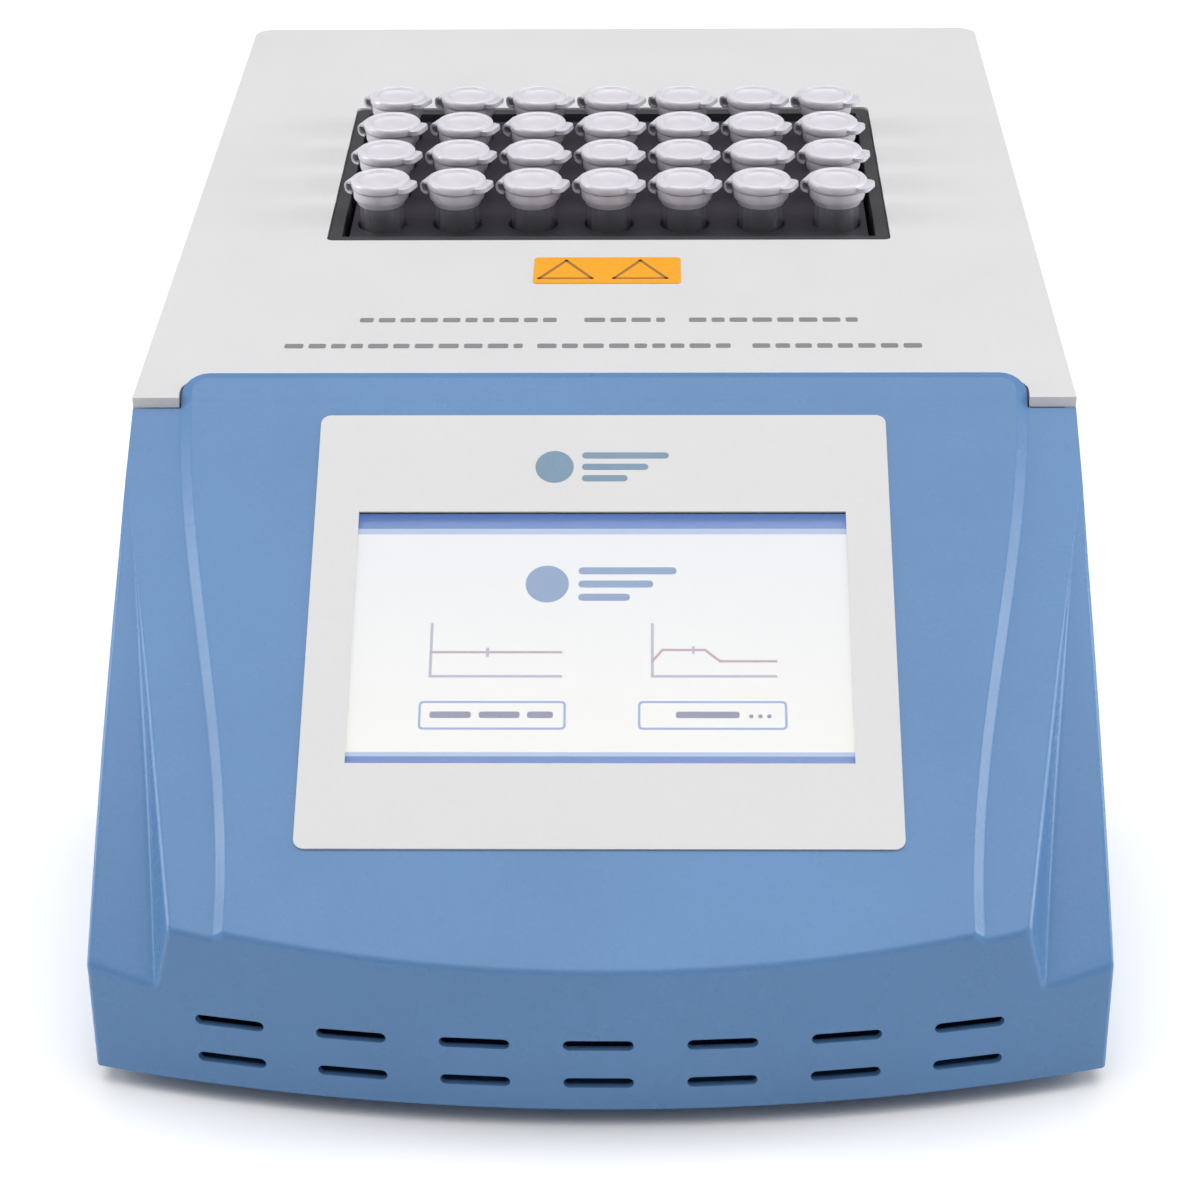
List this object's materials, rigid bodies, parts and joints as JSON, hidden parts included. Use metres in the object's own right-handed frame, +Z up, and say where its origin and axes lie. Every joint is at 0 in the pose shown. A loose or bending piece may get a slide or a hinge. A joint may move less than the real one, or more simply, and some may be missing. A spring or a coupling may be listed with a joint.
{
  "type": "dry block heater",
  "caption": "Bench-top dry block heater with a sloping touch-screen console, a blue and white plastic case and a lift-out block of microtubes.",
  "frame": {"origin": "centre of the footprint at the bottom of the rubber feet", "axes": "+X to the right, seen by someone facing the console; +Y to the rear; +Z up"},
  "size_m": [0.1888, 0.3366, 0.1055],
  "materials": {
    "blue_plastic": "satin",
    "white_plastic": "satin",
    "dark_plastic": "matte",
    "black_plastic": "satin",
    "rubber": "matte",
    "steel": "satin",
    "nickel": "bright",
    "brass": "satin",
    "aluminium": "satin",
    "anodised": "matte",
    "overlay_film": "satin",
    "glass": "clear",
    "screen": "lit",
    "circuit_board": "satin",
    "ribbon": "matte",
    "label": "satin",
    "insulation": "fibrous",
    "element": "satin",
    "wire": "satin",
    "tube": "translucent"
  },
  "bodies": {
    "case": {"base_pan": "blue_plastic", "rubber_feet": "rubber", "case_screws": "steel", "front_shell": "blue_plastic", "membrane_overlay": "overlay_film", "touch_glass": "glass", "display_module": "screen", "display_board": "circuit_board", "display_standoffs": "brass", "ribbon_cable": "ribbon", "top_cover": "white_plastic", "top_label": "label", "recess_liner": "dark_plastic", "rear_panel": "dark_plastic", "insulation_tray": "insulation", "heater_plate": "aluminium", "heating_element": "element", "temperature_probe": "steel", "thermal_cutout": "steel", "support_posts": "steel", "main_board": "circuit_board", "power_supply": "circuit_board", "triac_heatsink": "aluminium", "wire_harness": "wire", "inlet_socket": "black_plastic", "inlet_pins": "nickel", "switch_housing": "black_plastic", "board_screws": "steel"},
    "block": {"tube_block": "anodised"},
    "rocker": {"power_rocker": "black_plastic"},
    "fuse_drawer": {"fuse_drawer": "black_plastic", "fuses": "nickel"},
    "tube_r1_c1": {"tube_r1_c1": "tube"},
    "tube_r1_c2": {"tube_r1_c2": "tube"},
    "tube_r1_c3": {"tube_r1_c3": "tube"},
    "tube_r1_c4": {"tube_r1_c4": "tube"},
    "tube_r1_c5": {"tube_r1_c5": "tube"},
    "tube_r1_c6": {"tube_r1_c6": "tube"},
    "tube_r1_c7": {"tube_r1_c7": "tube"},
    "tube_r2_c1": {"tube_r2_c1": "tube"},
    "tube_r2_c2": {"tube_r2_c2": "tube"},
    "tube_r2_c3": {"tube_r2_c3": "tube"},
    "tube_r2_c4": {"tube_r2_c4": "tube"},
    "tube_r2_c5": {"tube_r2_c5": "tube"},
    "tube_r2_c6": {"tube_r2_c6": "tube"},
    "tube_r2_c7": {"tube_r2_c7": "tube"},
    "tube_r3_c1": {"tube_r3_c1": "tube"},
    "tube_r3_c2": {"tube_r3_c2": "tube"},
    "tube_r3_c3": {"tube_r3_c3": "tube"},
    "tube_r3_c4": {"tube_r3_c4": "tube"},
    "tube_r3_c5": {"tube_r3_c5": "tube"},
    "tube_r3_c6": {"tube_r3_c6": "tube"},
    "tube_r3_c7": {"tube_r3_c7": "tube"},
    "tube_r4_c1": {"tube_r4_c1": "tube"},
    "tube_r4_c2": {"tube_r4_c2": "tube"},
    "tube_r4_c3": {"tube_r4_c3": "tube"},
    "tube_r4_c4": {"tube_r4_c4": "tube"},
    "tube_r4_c5": {"tube_r4_c5": "tube"},
    "tube_r4_c6": {"tube_r4_c6": "tube"},
    "tube_r4_c7": {"tube_r4_c7": "tube"}
  },
  "joints": [
    {"name": "block_lift", "type": "slide", "parent": "case", "child": "block", "axis": [0, 0, 1], "range_m": [0, 0.06]},
    {"name": "power_rocker", "type": "hinge", "parent": "case", "child": "rocker", "pos_m": [-0.01, 0.1613, 0.033], "axis": [1, 0, 0], "range_deg": [-14, 0]},
    {"name": "fuse_drawer", "type": "slide", "parent": "case", "child": "fuse_drawer", "axis": [0, 1, 0], "range_m": [0, 0.022]},
    {"name": "tube_r1_c1_lift", "type": "slide", "parent": "block", "child": "tube_r1_c1", "axis": [0, 0, 1], "range_m": [0, 0.04]},
    {"name": "tube_r1_c2_lift", "type": "slide", "parent": "block", "child": "tube_r1_c2", "axis": [0, 0, 1], "range_m": [0, 0.04]},
    {"name": "tube_r1_c3_lift", "type": "slide", "parent": "block", "child": "tube_r1_c3", "axis": [0, 0, 1], "range_m": [0, 0.04]},
    {"name": "tube_r1_c4_lift", "type": "slide", "parent": "block", "child": "tube_r1_c4", "axis": [0, 0, 1], "range_m": [0, 0.04]},
    {"name": "tube_r1_c5_lift", "type": "slide", "parent": "block", "child": "tube_r1_c5", "axis": [0, 0, 1], "range_m": [0, 0.04]},
    {"name": "tube_r1_c6_lift", "type": "slide", "parent": "block", "child": "tube_r1_c6", "axis": [0, 0, 1], "range_m": [0, 0.04]},
    {"name": "tube_r1_c7_lift", "type": "slide", "parent": "block", "child": "tube_r1_c7", "axis": [0, 0, 1], "range_m": [0, 0.04]},
    {"name": "tube_r2_c1_lift", "type": "slide", "parent": "block", "child": "tube_r2_c1", "axis": [0, 0, 1], "range_m": [0, 0.04]},
    {"name": "tube_r2_c2_lift", "type": "slide", "parent": "block", "child": "tube_r2_c2", "axis": [0, 0, 1], "range_m": [0, 0.04]},
    {"name": "tube_r2_c3_lift", "type": "slide", "parent": "block", "child": "tube_r2_c3", "axis": [0, 0, 1], "range_m": [0, 0.04]},
    {"name": "tube_r2_c4_lift", "type": "slide", "parent": "block", "child": "tube_r2_c4", "axis": [0, 0, 1], "range_m": [0, 0.04]},
    {"name": "tube_r2_c5_lift", "type": "slide", "parent": "block", "child": "tube_r2_c5", "axis": [0, 0, 1], "range_m": [0, 0.04]},
    {"name": "tube_r2_c6_lift", "type": "slide", "parent": "block", "child": "tube_r2_c6", "axis": [0, 0, 1], "range_m": [0, 0.04]},
    {"name": "tube_r2_c7_lift", "type": "slide", "parent": "block", "child": "tube_r2_c7", "axis": [0, 0, 1], "range_m": [0, 0.04]},
    {"name": "tube_r3_c1_lift", "type": "slide", "parent": "block", "child": "tube_r3_c1", "axis": [0, 0, 1], "range_m": [0, 0.04]},
    {"name": "tube_r3_c2_lift", "type": "slide", "parent": "block", "child": "tube_r3_c2", "axis": [0, 0, 1], "range_m": [0, 0.04]},
    {"name": "tube_r3_c3_lift", "type": "slide", "parent": "block", "child": "tube_r3_c3", "axis": [0, 0, 1], "range_m": [0, 0.04]},
    {"name": "tube_r3_c4_lift", "type": "slide", "parent": "block", "child": "tube_r3_c4", "axis": [0, 0, 1], "range_m": [0, 0.04]},
    {"name": "tube_r3_c5_lift", "type": "slide", "parent": "block", "child": "tube_r3_c5", "axis": [0, 0, 1], "range_m": [0, 0.04]},
    {"name": "tube_r3_c6_lift", "type": "slide", "parent": "block", "child": "tube_r3_c6", "axis": [0, 0, 1], "range_m": [0, 0.04]},
    {"name": "tube_r3_c7_lift", "type": "slide", "parent": "block", "child": "tube_r3_c7", "axis": [0, 0, 1], "range_m": [0, 0.04]},
    {"name": "tube_r4_c1_lift", "type": "slide", "parent": "block", "child": "tube_r4_c1", "axis": [0, 0, 1], "range_m": [0, 0.04]},
    {"name": "tube_r4_c2_lift", "type": "slide", "parent": "block", "child": "tube_r4_c2", "axis": [0, 0, 1], "range_m": [0, 0.04]},
    {"name": "tube_r4_c3_lift", "type": "slide", "parent": "block", "child": "tube_r4_c3", "axis": [0, 0, 1], "range_m": [0, 0.04]},
    {"name": "tube_r4_c4_lift", "type": "slide", "parent": "block", "child": "tube_r4_c4", "axis": [0, 0, 1], "range_m": [0, 0.04]},
    {"name": "tube_r4_c5_lift", "type": "slide", "parent": "block", "child": "tube_r4_c5", "axis": [0, 0, 1], "range_m": [0, 0.04]},
    {"name": "tube_r4_c6_lift", "type": "slide", "parent": "block", "child": "tube_r4_c6", "axis": [0, 0, 1], "range_m": [0, 0.04]},
    {"name": "tube_r4_c7_lift", "type": "slide", "parent": "block", "child": "tube_r4_c7", "axis": [0, 0, 1], "range_m": [0, 0.04]}
  ]
}
